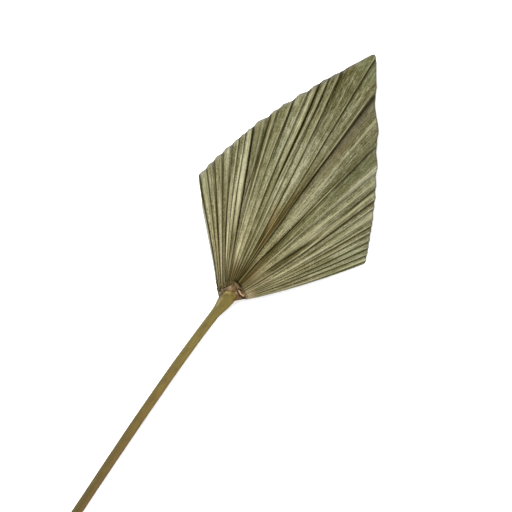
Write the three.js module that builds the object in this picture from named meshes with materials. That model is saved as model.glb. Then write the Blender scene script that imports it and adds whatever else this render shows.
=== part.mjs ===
// Leaf of a fan palm, cut with its stalk, trimmed to a spear and dried, lying on a flat surface.
// Millimetres, +Z up. Each piece is drawn in the fan's own frame: the origin is the point on the
// stalk's axis from which the folds fan out, +X runs to the tip, +Y to the left margin, and z = 0
// is the surface under the leaf. The whole is then moved so that the origin is under its middle.
import * as THREE from 'three';

const { clamp, lerp, degToRad } = THREE.MathUtils;
const square = (value) => value * value;

// Size of the whole leaf and outline of the trimmed blade
const LEAF_LENGTH = 500;
const TIP = new THREE.Vector2(264.2, 8.2);
const LEFT_CORNER = new THREE.Vector2(88.6, 80.5);
const RIGHT_CORNER = new THREE.Vector2(101.9, -88);
const LEFT_EDGE_BOW = 8.1; // how far each long trimmed edge bows outwards
const RIGHT_EDGE_BOW = 6.3;
const EDGE_BOW_SKEW = 1.6; // above 1 the bow is fullest nearer the corner than the tip
const TIP_ROUNDING = 1.5; // length that rounding takes off the tip, and how wide it reaches
const TIP_ROUNDING_DEG = 0.3;
const CUT_END_X = TIP.x - TIP_ROUNDING - LEAF_LENGTH;

// Folds of the fan, from the left margin to the right one. widths are in degrees at the trimmed
// edge, depths are shares of the fold's width, and ridge is where the ridge stands across a fold.
// At a group's left, cleft deepens the valley, in mm for each mm of radius, bow is by how many
// degrees it turns aside between hub and edge, and gather is how far in front of the origin it aims.
const LEFT_MARGIN_DEG = 42;
const FOLD_GROUPS = [
  // broad folds beside the left margin
  { widths: [3.2, 3.3], depths: [0.3, 0.36], ridge: 0.44, cleft: 0, bow: -0.9, gather: 0 },
  { widths: [3.4], depths: [0.36], ridge: 0.5, cleft: 0, bow: -0.3, gather: 1 },
  { widths: [3.5], depths: [0.38], ridge: 0.54, cleft: 0, bow: 0.2, gather: 3 },
  // tight folds, then folds that run together half way down
  { widths: [2.1, 1.9], depths: [0.34, 0.38], ridge: 0.5, cleft: 0.002, bow: 2.3, gather: 6 },
  { widths: [2], depths: [0.46], ridge: 0.5, cleft: 0, bow: 1.5, gather: 6 },
  { widths: [4.4], depths: [0.2], ridge: 0.56, cleft: 0.01, bow: -1, gather: 5 },
  { widths: [1.8], depths: [0.32], ridge: 0.45, cleft: 0.006, bow: 1.4, gather: 4 },
  { widths: [3], depths: [0.2], ridge: 0.62, cleft: 0.004, bow: 2.1, gather: 4 },
  { widths: [2.9], depths: [0.22], ridge: 0.55, cleft: 0.003, bow: 1.8, gather: 4.5 },
  { widths: [1.7, 1.5, 1.7], depths: [0.46, 0.38, 0.32], ridge: 0.5, cleft: 0, bow: 1.5, gather: 7 },
  // the two folds that end at the tip
  { widths: [4.7, 4], depths: [0.13, 0.2], ridge: 0.6, cleft: 0.003, bow: -1.9, gather: 12.5 },
  // broad, nearly flat folds beyond the deepest cleft
  { widths: [5.8, 2.5], depths: [0.08, 0.18], ridge: 0.64, cleft: 0.016, bow: 0.4, gather: 15 },
  { widths: [5.2], depths: [0.12], ridge: 0.74, cleft: 0.004, bow: 0.5, gather: 6 },
  { widths: [3.4], depths: [0.18], ridge: 0.5, cleft: 0.002, bow: 0.4, gather: 3 },
  { widths: [2.6], depths: [0.36], ridge: 0.46, cleft: 0.002, bow: -1.4, gather: 0.6 },
  // tight folds beside the right margin
  { widths: [2.2, 3.1], depths: [0.13, 0.2], ridge: 0.46, cleft: 0.008, bow: -2.4, gather: 0.2 },
  { widths: [1.3], depths: [0.34], ridge: 0.42, cleft: 0, bow: -2.3, gather: 0 },
  { widths: [2.1, 2.4], depths: [0.28, 0.32], ridge: 0.5, cleft: 0.002, bow: -2.1, gather: 0 },
  { widths: [2.1, 2.1, 2.1], depths: [0.36, 0.32, 0.26], ridge: 0.48, cleft: 0, bow: -1.7, gather: 0 },
];
const RIGHT_MARGIN_BOW_DEG = -3;
const PANEL_BELLY = 0.08; // how far a panel swells above the straight line from valley to ridge
const LEFT_SQUARE_CUT = 0.42; // 0 cuts the folds along the outline, 1 cuts each straight across
const RIGHT_SQUARE_CUT = 0.2;
const POINTED_CUT_DEG = 5; // within this of the tip the folds are cut along the outline
const LEFT_STRIP_DEG = 0.35; // the half fold outside the last valley, along each margin
const RIGHT_STRIP_DEG = 0.7;
const LEFT_STRIP_BOW_DEG = 0.7;

// How the folds draw together at the hub
const ROOT_RADIUS = 25;
const ROOT_LEFT_CUT = 8.5; // the root line is that much nearer to the origin at each margin
const ROOT_RIGHT_CUT = 3;
const FAN_HALF_DEG = 43;
const CLOSEST_CROWDING = 0.4; // folds that crowd more or less than this keep their height
const WIDEST_CROWDING = 1.15;
const CROWDING_STEP_DEG = 0.6;
const HUB_STEEPENING = 0.7;
const HUB_STEEPENING_REACH = 45;

// Thickness and the arch of the blade as it lies
const PLY = 0.62;
const ROOT_HEIGHT = 9.2;
const ARCH_RISE = 4.8;
const ARCH_MIDDLE_X = 125;
const ARCH_HALF_LENGTH = 105;
const CORNER_DROOP = 10.5;
const CORNER_REACH = 84;
const STATIONS = 16; // steps from the root to the trimmed edge
const STATION_CROWDING = 1.35; // above 1 the steps are shorter near the root

// The stalk
const STALK_WIDTH = 8.7;
const STALK_FLARE_WIDTH = 14;
const STALK_ABOVE = 2.4;
const STALK_BELOW = 2.8;
const STALK_FLARE_DEPTH = 1.12;
const STALK_SWAY = 8.5; // sideways offset of the far end, and the length over which it builds up
const STALK_SWAY_LENGTH = 90;
const STALK_HUB_HEIGHT = 7.6;
const STALK_LYING_LENGTH = 34; // the stretch at the cut end that lies flat
const STALK_END_X = 10; // where the stalk's sides end at the hub
const STALK_END_SKEW = 2.4; // the left side ends that much sooner, the right that much later
const STALK_END_SHIFT = -0.9; // sideways place of the end
const STALK_NOSE = 5.8; // the middle of its end reaches that much further
const STALK_NOSE_POWER = 4; // 2 rounds the end like a parabola, more makes it blunter
const FLARE_START_X = -11;
const STALK_STATIONS = 44;
const SECTION_POINTS = 16;
const SECTION_SQUARENESS = 0.72; // 1 is an ellipse, less is boxier
const FOOT_FLATTENING = 1.07; // above 1 the underside is a flat strip

// The hastula, the crest that rims the blade's base on the stalk
const JOINT_GAP = 0.3;
const ROOT_CLEARANCE = 0.53; // along the radius, so that the gap to the folds' roots is as wide
const HASTULA_STATIONS = 36;
const HASTULA_LEFT_DEG = 42.3;
const HASTULA_RIGHT_DEG = -40.5;
const HASTULA_BOTTOM = 6.4;
const HASTULA_TOP = 10.4;
const CREST_HEIGHT = 2.6;
const CREST_PLACE = -0.35; // where the crest is highest, from -1 at the right to 1 at the left
const CREST_WIDTH = 0.42;
const CREST_RIPPLE = 0.35;
const CREST_RIPPLES = 5;

const LEAF_COLOUR = 0x8d8a63;
const STALK_COLOUR = 0x86754a;
const HASTULA_COLOUR = 0x8f7453;

const GUIDES = makeGuides();

// The folds as {from, to, ridge, depth, cleft}, angles in radians, depth in mm for each mm of radius
function makeFolds() {
  const folds = [];
  let from = degToRad(LEFT_MARGIN_DEG);
  for (const group of FOLD_GROUPS) {
    group.widths.forEach((degrees, index) => {
      const width = degToRad(degrees);
      folds.push({
        from,
        to: from - width,
        ridge: group.ridge,
        depth: group.depths[index] * width,
        cleft: index === 0 ? group.cleft : 0,
      });
      from -= width;
    });
  }
  return folds;
}

// Lines that run from the root to the trimmed edge: valleys, ridges and the middle of each panel.
// lift is the height over the arch in mm for each mm of radius, and cut is the angle at which the
// outline is read for the line's end.
function makeLines(folds) {
  const first = folds[0];
  const last = folds[folds.length - 1];
  const valleyLift = (index) => {
    const left = folds[index - 1] ?? first;
    const right = folds[index] ?? last;
    return -0.25 * (left.depth + right.depth) - (folds[index]?.cleft ?? 0);
  };
  const lines = [];
  const addLine = (angle, lift, cut = angle, bow = guideValue(angle, 'bow')) => {
    lines.push({ angle, lift, cut, bow });
  };
  const leftMargin = first.from + degToRad(LEFT_STRIP_DEG);
  addLine(leftMargin, 0.2 * first.depth, first.from, degToRad(LEFT_STRIP_BOW_DEG));
  folds.forEach((fold, index) => {
    const middle = (fold.from + fold.to) / 2;
    const from = valleyLift(index);
    const top = 0.5 * fold.depth;
    const to = valleyLift(index + 1);
    const swell = PANEL_BELLY * fold.depth;
    const addCut = (share, lift) => {
      const angle = lerp(fold.from, fold.to, share);
      addLine(angle, lift, lerp(angle, middle, squareCut(angle)));
    };
    addLine(fold.from, from);
    addCut(fold.ridge / 2, (from + top) / 2 + swell);
    addCut(fold.ridge, top);
    addCut((1 + fold.ridge) / 2, (top + to) / 2 + swell);
  });
  addLine(last.to, valleyLift(folds.length));
  addLine(last.to - degToRad(RIGHT_STRIP_DEG), 0.2 * last.depth, last.to);
  const fromTip = (line) => Math.abs(line.angle - TIP.angle());
  const nearest = lines.reduce((best, line) => (fromTip(line) < fromTip(best) ? line : best));
  nearest.angle = TIP.angle();
  nearest.cut = TIP.angle();
  return lines;
}

// The left side of each group and the right margin, between which bow and gather change evenly
function makeGuides() {
  let degrees = LEFT_MARGIN_DEG;
  const guides = FOLD_GROUPS.map(({ widths, bow, gather }) => {
    const guide = { angle: degToRad(degrees), bow: degToRad(bow), gather };
    degrees -= widths.reduce((sum, width) => sum + width);
    return guide;
  });
  return [...guides, { angle: degToRad(degrees), bow: degToRad(RIGHT_MARGIN_BOW_DEG), gather: 0 }];
}

function guideValue(angle, key) {
  const last = GUIDES.length - 1;
  const beyond = GUIDES.findIndex((guide) => guide.angle < angle);
  if (beyond < 1) return GUIDES[beyond < 0 ? last : 0][key];
  const left = GUIDES[beyond - 1];
  const right = GUIDES[beyond];
  return lerp(left[key], right[key], (left.angle - angle) / (left.angle - right.angle));
}

// How squarely the folds are cut at an angle
function squareCut(angle) {
  const fromTip = angle - TIP.angle();
  const cut = fromTip > 0 ? LEFT_SQUARE_CUT : RIGHT_SQUARE_CUT;
  return cut * THREE.MathUtils.smoothstep(Math.abs(fromTip), 0, degToRad(POINTED_CUT_DEG));
}

// Distance from the origin to a bowed trimmed edge between a corner and the tip, in a direction
function edgeDistance(angle, corner, fullBow) {
  const along = TIP.clone().sub(corner);
  const direction = new THREE.Vector2(Math.cos(angle), Math.sin(angle));
  const distance = corner.cross(along) / direction.cross(along);
  const share = direction.clone().multiplyScalar(distance).sub(corner).dot(along) / along.lengthSq();
  const shape = (from) => from * Math.pow(1 - from, EDGE_BOW_SKEW);
  const bow = (fullBow * shape(Math.min(share, 1))) / shape(1 / (1 + EDGE_BOW_SKEW));
  const outward = Math.abs(direction.cross(along)) / along.length();
  return distance + bow / outward;
}

// The trimmed outline in polar form, with its tip rounded
function outlineRadius(angle) {
  const fromTip = angle - TIP.angle();
  const rounding = TIP_ROUNDING * Math.exp(-Math.abs(fromTip) / degToRad(TIP_ROUNDING_DEG));
  const distance = fromTip > 0
    ? edgeDistance(angle, LEFT_CORNER, LEFT_EDGE_BOW)
    : edgeDistance(angle, RIGHT_CORNER, RIGHT_EDGE_BOW);
  return distance - rounding;
}

// Share of the half fan at which an angle stands, squared: 0 in the middle, 1 at a margin
function marginShare(angle) {
  return Math.min(square(angle / degToRad(FAN_HALF_DEG)), 1);
}

function rootRadius(angle) {
  return ROOT_RADIUS - (angle > 0 ? ROOT_LEFT_CUT : ROOT_RIGHT_CUT) * marginShare(angle);
}

// How much narrower the fan is at a radius than at its trimmed edge, because the folds gather
function squeeze(angle, radius, edge) {
  const gather = guideValue(angle, 'gather');
  return (1 - gather / radius) / (1 - gather / edge);
}

// How close together the folds lie at a radius, where 1 is their spacing at the trimmed edge
function crowding(angle, radius, edge, bowShare) {
  const step = degToRad(CROWDING_STEP_DEG);
  const turned = (at) => at * squeeze(at, radius, edge) + guideValue(at, 'bow') * bowShare;
  const spacing = (turned(angle + step) - turned(angle - step)) / (2 * step);
  return clamp(spacing, CLOSEST_CROWDING, WIDEST_CROWDING);
}

// Height of the smooth arch on which the folds ride
function archHeight(x, y) {
  const crown = 1 - square((x - ARCH_MIDDLE_X) / ARCH_HALF_LENGTH);
  return ROOT_HEIGHT + ARCH_RISE * crown - CORNER_DROOP * square(y / CORNER_REACH);
}

// The middle of the blade's thickness on a line, from share 0 at the root to 1 at the edge
function bladePoint(line, share) {
  const edge = outlineRadius(line.cut);
  const radius = lerp(rootRadius(line.angle), edge, Math.pow(share, STATION_CROWDING));
  const bowShare = Math.sin(Math.PI * Math.sqrt(share));
  const angle = line.angle * squeeze(line.angle, radius, edge) + line.bow * bowShare;
  const x = radius * Math.cos(angle);
  const y = radius * Math.sin(angle);
  const steepening = 1 + HUB_STEEPENING * Math.exp(-radius / HUB_STEEPENING_REACH);
  const foldHeight = line.lift * radius * crowding(line.angle, radius, edge, bowShare) * steepening;
  return new THREE.Vector3(x, y, archHeight(x, y) + foldHeight);
}

// Half the blade's upright thickness at a point, more where a neighbouring panel is steep
function halfThickness(point, neighbours) {
  const slopes = neighbours.map((other) => {
    return Math.abs(other.z - point.z) / Math.hypot(other.x - point.x, other.y - point.y);
  });
  return 0.5 * PLY * Math.hypot(1, Math.max(...slopes));
}

// Moves the blade down and turns it a little about +X, so that the lowest point of each half
// lies on the surface
function settle(top, bottom) {
  const lowest = (side) => bottom.flat().filter((p) => p.y * side > 0)
    .reduce((low, p) => (p.z < low.z ? p : low));
  const left = lowest(1);
  const right = lowest(-1);
  const slope = (left.z - right.z) / (left.y - right.y);
  const drop = left.z - slope * left.y;
  for (const p of [...top.flat(), ...bottom.flat()]) p.z -= drop + slope * p.y;
}

// A closed sheet between two grids of points with the same triangles on both faces
function sheetGeometry(top, bottom) {
  const rows = top.length;
  const columns = top[0].length;
  const count = rows * columns;
  const at = (row, column) => row * columns + column;
  const index = [];
  for (let row = 0; row < rows - 1; row++) {
    for (let column = 0; column < columns - 1; column++) {
      const corners = [
        at(row, column), at(row + 1, column), at(row + 1, column + 1), at(row, column + 1),
      ];
      for (const [a, b, c] of [[0, 1, 2], [0, 2, 3]]) {
        index.push(corners[a], corners[b], corners[c]);
        index.push(corners[a] + count, corners[c] + count, corners[b] + count);
      }
    }
  }
  const loop = [];
  for (let row = 0; row < rows - 1; row++) loop.push(at(row, 0));
  for (let column = 0; column < columns - 1; column++) loop.push(at(rows - 1, column));
  for (let row = rows - 1; row > 0; row--) loop.push(at(row, columns - 1));
  for (let column = columns - 1; column > 0; column--) loop.push(at(0, column));
  loop.forEach((here, i) => {
    const next = loop[(i + 1) % loop.length];
    index.push(here, here + count, next + count, here, next + count, next);
  });
  return pointsGeometry([...top.flat(), ...bottom.flat()], index);
}

function pointsGeometry(points, index) {
  const geometry = new THREE.BufferGeometry().setFromPoints(points).setIndex(index);
  geometry.computeVertexNormals();
  return geometry;
}

// A closed body through rings of points. Points k and n - k of a ring of n lie opposite each
// other, so that each end is closed by strips between them.
function loftGeometry(rings) {
  const n = rings[0].length;
  const index = [];
  for (let ring = 0; ring < rings.length - 1; ring++) {
    for (let k = 0; k < n; k++) {
      const here = ring * n + k;
      const beside = ring * n + ((k + 1) % n);
      index.push(here, beside + n, beside, here, here + n, beside + n);
    }
  }
  const lastRing = (rings.length - 1) * n;
  for (let k = 0; k < n / 2; k++) {
    const strip = [k, k + 1, (n - k - 1) % n, (n - k) % n];
    for (const [a, b, c] of [[0, 1, 2], [0, 2, 3]]) {
      const corners = [strip[a], strip[b], strip[c]];
      if (new Set(corners).size < 3) continue;
      index.push(...corners);
      index.push(corners[0] + lastRing, corners[2] + lastRing, corners[1] + lastRing);
    }
  }
  return pointsGeometry(rings.flat(), index);
}

function makeBlade() {
  const lines = makeLines(makeFolds());
  const middle = lines.map((line) => Array.from(
    { length: STATIONS + 1 },
    (_, station) => bladePoint(line, station / STATIONS),
  ));
  const face = (side) => middle.map((row, i) => row.map((point, j) => {
    const neighbours = [middle[i - 1], middle[i + 1]].filter(Boolean).map((other) => other[j]);
    return point.clone().setZ(point.z + side * halfThickness(point, neighbours));
  }));
  const top = face(1);
  const bottom = face(-1);
  settle(top, bottom);
  return sheetGeometry(top, bottom);
}

// 0 at the start of the stalk's flare, 1 at its end
function flareShare(x) {
  return THREE.MathUtils.smoothstep(x, FLARE_START_X, STALK_END_X);
}

// Centre of the stalk at x: it sways aside and comes down to the surface towards its cut end
function stalkCentre(x) {
  const lyingEnd = CUT_END_X + STALK_LYING_LENGTH;
  const rise = THREE.MathUtils.smoothstep(x, lyingEnd, STALK_END_X + STALK_NOSE);
  const y = STALK_SWAY * (1 - Math.exp(Math.min(x, 0) / STALK_SWAY_LENGTH));
  const end = STALK_END_SHIFT * flareShare(x);
  return new THREE.Vector3(x, y + end, lerp(STALK_BELOW, STALK_HUB_HEIGHT, rise));
}

// How far the stalk's end reaches forwards at a place from -1 to 1 across it
function noseReach(across) {
  return STALK_NOSE * (1 - Math.pow(Math.abs(across), STALK_NOSE_POWER));
}

// A ring round the stalk. Towards the hub its middle reaches forwards and it turns askew.
function stalkRing(x) {
  const centre = stalkCentre(x);
  const flare = flareShare(x);
  const halfWidth = lerp(STALK_WIDTH, STALK_FLARE_WIDTH, flare) / 2;
  const deepening = lerp(1, STALK_FLARE_DEPTH, flare);
  return Array.from({ length: SECTION_POINTS }, (_, k) => {
    const turn = (2 * Math.PI * k) / SECTION_POINTS;
    const across = Math.sign(Math.cos(turn)) * Math.pow(Math.abs(Math.cos(turn)), SECTION_SQUARENESS);
    const up = Math.sign(Math.sin(turn)) * Math.pow(Math.abs(Math.sin(turn)), SECTION_SQUARENESS);
    const rise = up > 0 ? STALK_ABOVE * up : -STALK_BELOW * Math.min(1, -up * FOOT_FLATTENING);
    return new THREE.Vector3(
      x + square(flare) * (noseReach(across) + STALK_END_SKEW * across),
      centre.y - halfWidth * across,
      centre.z + deepening * rise,
    );
  });
}

function makeStalk() {
  const rings = Array.from({ length: STALK_STATIONS + 1 }, (_, station) => {
    const share = station / STALK_STATIONS;
    const x = lerp(CUT_END_X, STALK_END_X, Math.pow(share, 0.8));
    return stalkRing(x);
  });
  return loftGeometry(rings);
}

// Height of the hastula's crest over its flat rim, at a place from -1 at the right to 1
function crestHeight(place) {
  const hump = Math.exp(-square((place - CREST_PLACE) / CREST_WIDTH));
  const ripple = 1 - CREST_RIPPLE * square(Math.sin(CREST_RIPPLES * place));
  return CREST_HEIGHT * lerp(0.3, 1, hump) * ripple;
}

// A section of the hastula, from the stalk's end to the root of the folds
function hastulaRing(place) {
  const angle = degToRad(lerp(HASTULA_RIGHT_DEG, HASTULA_LEFT_DEG, (1 + place) / 2));
  const flareHalf = STALK_FLARE_WIDTH / 2;
  const power = STALK_NOSE_POWER;
  const bend = STALK_NOSE * power * Math.sign(place) * Math.pow(Math.abs(place), power - 1);
  const slope = (bend + STALK_END_SKEW) / flareHalf;
  const gap = JOINT_GAP * Math.hypot(1, slope);
  const inner = new THREE.Vector2(
    STALK_END_X + noseReach(place) - STALK_END_SKEW * place + gap,
    STALK_END_SHIFT + flareHalf * place,
  );
  const rootAngle = angle * squeeze(angle, rootRadius(angle), outlineRadius(angle));
  const reach = rootRadius(angle) - ROOT_CLEARANCE;
  const outer = new THREE.Vector2(reach * Math.cos(rootAngle), reach * Math.sin(rootAngle));
  const crest = HASTULA_TOP + crestHeight(place);
  const outline = [
    [0, HASTULA_BOTTOM],
    [0.5, HASTULA_BOTTOM - 0.6],
    [1, HASTULA_BOTTOM + 0.8],
    [1, HASTULA_TOP - 0.2],
    [0.78, lerp(HASTULA_TOP, crest, 0.5)],
    [0.58, crest],
    [0.3, lerp(HASTULA_TOP, crest, 0.4)],
    [0, HASTULA_TOP - 0.4],
  ];
  return outline.map(([share, z]) => {
    const plan = inner.clone().lerp(outer, share);
    return new THREE.Vector3(plan.x, plan.y, z);
  });
}

function makeHastula() {
  const rings = Array.from(
    { length: HASTULA_STATIONS + 1 },
    (_, station) => hastulaRing(lerp(-1, 1, station / HASTULA_STATIONS)),
  );
  return loftGeometry(rings);
}

function addPiece(group, name, geometry, color, roughness) {
  const material = new THREE.MeshStandardMaterial({ color, roughness, metalness: 0 });
  const mesh = new THREE.Mesh(geometry, material);
  mesh.name = name;
  group.add(mesh);
}

const leaf = new THREE.Group();
addPiece(leaf, 'blade', makeBlade(), LEAF_COLOUR, 0.8);
addPiece(leaf, 'hastula', makeHastula(), HASTULA_COLOUR, 0.75);
addPiece(leaf, 'petiole', makeStalk(), STALK_COLOUR, 0.55);

// The origin goes under the middle of the leaf, on the surface
const box = new THREE.Box3().setFromObject(leaf);
const middle = box.getCenter(new THREE.Vector3());
leaf.position.set(-middle.x, -middle.y, -box.min.z);

export default leaf;
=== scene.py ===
import math

import bpy
import numpy as np
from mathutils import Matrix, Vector


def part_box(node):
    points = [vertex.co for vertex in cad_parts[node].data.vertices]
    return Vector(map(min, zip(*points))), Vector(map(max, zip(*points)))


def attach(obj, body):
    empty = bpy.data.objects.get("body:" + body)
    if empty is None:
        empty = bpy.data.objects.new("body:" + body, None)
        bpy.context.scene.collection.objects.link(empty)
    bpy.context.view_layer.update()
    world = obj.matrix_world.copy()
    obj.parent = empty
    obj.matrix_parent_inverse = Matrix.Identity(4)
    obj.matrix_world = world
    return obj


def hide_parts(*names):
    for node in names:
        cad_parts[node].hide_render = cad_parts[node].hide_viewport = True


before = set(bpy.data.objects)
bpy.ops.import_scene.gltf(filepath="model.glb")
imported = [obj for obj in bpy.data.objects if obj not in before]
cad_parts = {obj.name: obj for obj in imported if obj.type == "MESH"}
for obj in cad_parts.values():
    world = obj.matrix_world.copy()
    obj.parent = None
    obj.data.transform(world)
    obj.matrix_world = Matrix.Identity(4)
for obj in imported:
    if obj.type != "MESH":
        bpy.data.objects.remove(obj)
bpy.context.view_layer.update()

RNG_SEED = 2417

# Size and outline of the leaf, in places fitted closer to the photo than in the part's source
TIP = np.array([265.8, 8.2])
LEFT_CORNER = np.array([88.6, 80.5])
RIGHT_CORNER = np.array([101.9, -88.0])
LEFT_EDGE_BOW = 8.1
RIGHT_EDGE_BOW = 6.3
EDGE_BOW_SKEW = 1.6
TIP_ROUNDING = 2.2
TIP_ROUNDING_DEG = 0.35
TIP_BULGE = 3.2
TIP_BULGE_DEG = (0.6, 2.1)
CUT_END_X = -237.3
TIP_ANGLE = math.atan2(TIP[1], TIP[0])

# Folds by group: widths in degrees at the edge, depths as shares of the widths, places of the
# ridges, and at the group's left the valley's cleft, its sideways bow in degrees and how far it gathers
LEFT_MARGIN_DEG = 42.0
FOLD_GROUPS = [
    ([3.2, 3.3], [0.3, 0.36], [0.78, 0.62], 0, -0.9, 0),
    ([3.4], [0.36], [0.7], 0, -0.3, 1),
    ([3.5], [0.38], [0.64], 0, 0.2, 3),
    ([2.1, 1.9], [0.34, 0.38], [0.76, 0.8], 0.002, 2.3, 6),
    ([2], [0.46], [0.74], 0, 1.5, 6),
    ([4.4], [0.2], [0.6], 0.01, -1, 5),
    ([1.8], [0.32], [0.6], 0.006, 1.4, 4),
    ([3], [0.2], [0.8], 0.004, 2.1, 4),
    ([2.9], [0.22], [0.8], 0.003, 1.8, 4.5),
    ([1.7, 1.5, 1.7], [0.46, 0.38, 0.32], [0.7, 0.78, 0.8], 0, 1.5, 7),
    ([4.7, 4], [0.13, 0.2], [0.93, 0.84], 0.003, -1.9, 12.5),
    ([7.3, 1], [0.08, 0.2], [0.55, 0.5], 0.016, 0.4, 15),
    ([5.2], [0.12], [0.76], 0.004, 0.5, 6),
    ([3.4], [0.18], [0.5], 0.002, 0.4, 3),
    ([2.6], [0.36], [0.76], 0.002, -1.4, 0.6),
    ([2.2, 3.1], [0.13, 0.12], [0.75, 0.7], 0.008, -2.4, 0.2),
    ([1.3], [0.34], [0.6], 0, -2.3, 0),
    ([2.1, 2.4], [0.28, 0.32], [0.8, 0.82], 0.002, -2.1, 0),
    ([2.1, 2.1, 2.1], [0.36, 0.32, 0.26], [0.82, 0.8, 0.7], 0, -1.7, 0),
]
RIGHT_MARGIN_BOW_DEG = -3
GUIDE_STARTS = [LEFT_MARGIN_DEG]
for widths, *_ in FOLD_GROUPS:
    GUIDE_STARTS.append(GUIDE_STARTS[-1] - sum(widths))
GUIDE_BOWS = [group[4] for group in FOLD_GROUPS] + [RIGHT_MARGIN_BOW_DEG]
GUIDE_GATHERS = [group[5] for group in FOLD_GROUPS] + [0]
PANEL_BELLY = 0.08
LEFT_SQUARE_CUT = 0.42
RIGHT_SQUARE_CUT = 0.2
POINTED_CUT_DEG = 9
# Strips beyond the outermost folds: their angles, the columns in each, their widths as shares of
# the fold beside them, and how high their outer edges stand as a share of its depth
LEFT_STRIP_DEG = 0.35
RIGHT_STRIP_DEG = 0.7
STRIP_COLUMNS = 4
LEFT_STRIP_SHARE = 0.5
RIGHT_STRIP_SHARE = 0.33
STRIP_LIFT = 0.2
RIGHT_CORNER_CHAMFER = 2.4
SQUARE_CUT_FADE = 0.22   # share of a fold, beside each valley, where the square cut fades
# The left margin beyond the fold's line, in millimetres: how far the line itself stands out and
# how wide the pale strip beside it is, each over the distance from the hub
MARGIN_SWELL = ([16, 40, 65, 81, 97, 112, 119], [0.5, 0.5, 0.9, 1.6, 2.0, 1.5, 0.9])
MARGIN_SWELL_SHARE = 0.8   # share of the first fold over which the swell fades
MARGIN_STRIP = ([16, 22, 30, 60, 88, 97, 119], [0.5, 1.0, 0.9, 1.6, 1.4, 0.3, 0.2])

ROOT_RADIUS = 25.0
ROOT_LEFT_CUT = 8.5
ROOT_RIGHT_CUT = 3.0
FAN_HALF_DEG = 43.0
CLOSEST_CROWDING = 0.4
WIDEST_CROWDING = 1.15
CROWDING_STEP_DEG = 0.6
HUB_STEEPENING = 0.7
HUB_STEEPENING_REACH = 45.0

ROOT_HEIGHT = 9.2
ARCH_RISE = 4.8
ARCH_MIDDLE_X = 125.0
ARCH_HALF_LENGTH = 105.0
CORNER_DROOP = 10.5
CORNER_REACH = 84.0

# Spread of the rows of points, which lie closer near the hub, and of the folds' bow
ROW_POWER = 1.2
BOW_POWER = 1.35
STEEPEST_SLOPE = 2.5   # beyond this slope the upright thickness grows no more

# Noise over the sheet: size, cells to a degree, cells to a millimetre of distance, and seed.
# The waver is sideways in degrees, the unevenness is a share of a fold's height.
WAVER = (0.16, 0.35, 0.022, 3)
UNEVENNESS = (0.22, 0.8, 0.016, 11)
RIPPLE = (0.22, 1.3, 0.035, 23)
FINE_RIPPLE = (0.07, 4.5, 0.06, 29)
# Distances from the hub between which each grows from nothing to its size
WAVER_START = (30, 90)
RIPPLE_START = (28, 70)

# Widths in millimetres, and the share of a fold that each stays within
RIDGE_WIDTH = (0.42, 0.2)
VALLEY_LINE_WIDTH = (0.62, 0.24)
VALLEY_SHADE_WIDTH = (2, 0.4)

RIDGE_HEIGHT = 0.16
RIDGE_START = (30, 80)
# A rib's relief is small; its look comes mostly from its painted highlight
RIB_HEIGHT = 0.25   # for each unit of a rib's amount, which is colour for the most part

# The grey rim inside the cut edge, partly its own darker colour and partly painted shade on the facets by
# the edge: how far it is whole, its reach, and what is added to its reach left of the tip and close to the
# tip, each with its angles
RIM_FULL = 0.3
RIM_REACH = 1.6
RIM_LEFT_REACH = 3.2
RIM_LEFT_DEG = (1, 9)
RIM_TIP_REACH = 4
RIM_TIP_DEG = (6, 3.5)

# Where the pale strip along both margins begins and ends, and how soon it fills their columns
STRIP_START = (18, 30)
STRIP_END = (86, 98)
STRIP_FILL = 1.7

STALK_WIDTH = 8.7
STALK_FLARE_WIDTH = 14.0
STALK_ABOVE = 2.4
STALK_BELOW = 2.8
STALK_FLARE_DEPTH = 1.12
STALK_SWAY = 8.5
STALK_SWAY_LENGTH = 90.0
STALK_HUB_HEIGHT = 7.6
STALK_LYING_LENGTH = 34.0
STALK_END_X = 10.0
STALK_END_SKEW = 2.4
STALK_END_SHIFT = -0.9
STALK_NOSE = 5.8
STALK_NOSE_POWER = 4
FLARE_START_X = -11.0
STALK_STATION_POWER = 0.9   # its rings lie a little closer near the hub
STALK_SQUARENESS = 0.72     # 1 is an oval, and less is squarer
STALK_SOLE = 1.07           # more than 1 flattens the underside
STALK_SOLE_FROM = -0.5      # below this sine of the turn the stalk has no dents
# Dents: size, cells to a radian, their shift, cells to a millimetre along, and seed
STALK_DENTS = [(0.12, 1.6, 9, 0.03, 41), (0.05, 6, 0, 0.015, 43)]
# In plan at the stalk's end: dark spots with their sizes, the pale lip and the pale scar
STALK_SPOTS = [(11.0, 0.8, 1.3), (13.6, -3.4, 1.3), (11.6, -6.0, 1.2), (9.0, 5.2, 1.0)]
STALK_LIP_LINE = [(10.4, 6.2), (12.8, 3.4), (14.6, 0.4)]
STALK_LIP_HALF_WIDTH = 1.3
STALK_SCAR_LINE = [(6.8, 2.8), (3.6, 3.4), (-1.5, 3.0)]
STALK_SCAR_HALF_WIDTH = 0.8

HASTULA_LEFT_DEG = 46.5
HASTULA_RIGHT_DEG = -40.5
HASTULA_TUCK = 0.5          # how far its inner edge reaches into the stalk's end
HASTULA_ROOT_REACH = 0.3    # how far its outer edge reaches past the roots of the folds
HASTULA_HEIGHT = 10.0
HASTULA_RISE = 0.8          # from the stalk's end to the folds
HASTULA_SIDE_FALL = 0.5
HASTULA_UNDERSIDE = 6.2
HASTULA_UNDERSIDE_RISE = 1.2
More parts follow.
